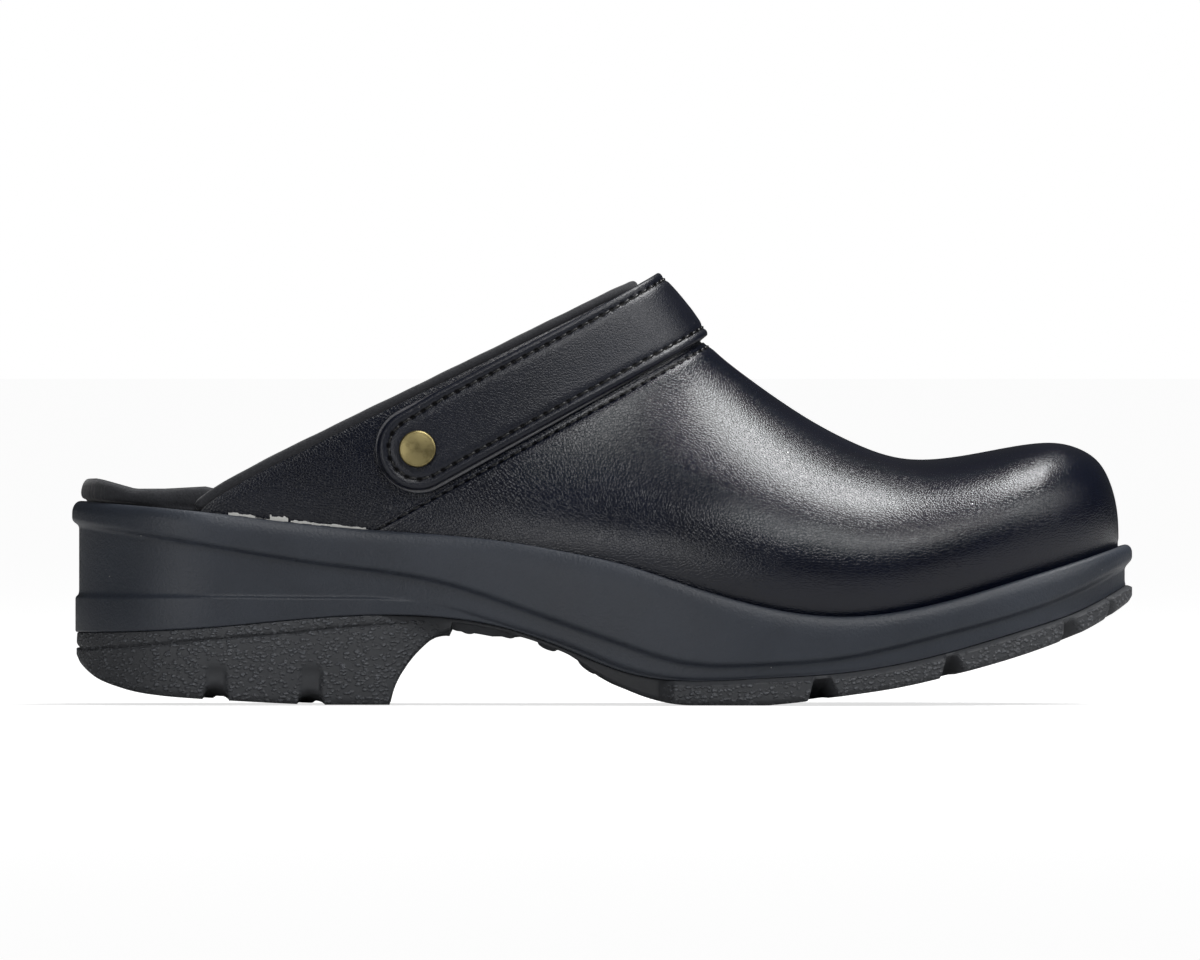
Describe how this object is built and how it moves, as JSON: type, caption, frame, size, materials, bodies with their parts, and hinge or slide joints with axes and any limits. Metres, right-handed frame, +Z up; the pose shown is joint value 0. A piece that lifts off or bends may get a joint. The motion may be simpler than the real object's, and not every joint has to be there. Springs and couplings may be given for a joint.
{
  "type": "leather work clog",
  "caption": "Closed-toe, open-heel leather work clog with an instep strap on rivets, padded collar roll, cushioned insole and a moulded sole with heel, arch and tread lugs.",
  "frame": {"origin": "on the floor, below the middle of the shoe's length and width", "axes": "+X towards the toe, +Y towards the inner side of the foot, +Z up"},
  "size_m": [0.288, 0.106, 0.1167],
  "materials": {
    "leather": "satin black fine grain",
    "lining": "matte black microfibre",
    "midsole_foam": "matte charcoal moulded polyurethane",
    "tread": "grained charcoal tread",
    "rivet_brass": "antique brass, worn bright on the rim"
  },
  "bodies": {
    "root": {"outsole": "tread", "midsole": "midsole_foam", "insole": "lining", "upper": "leather", "collar_binding": "lining", "strap": "leather", "rivet_lateral": "rivet_brass", "rivet_medial": "rivet_brass"}
  },
  "joints": []
}
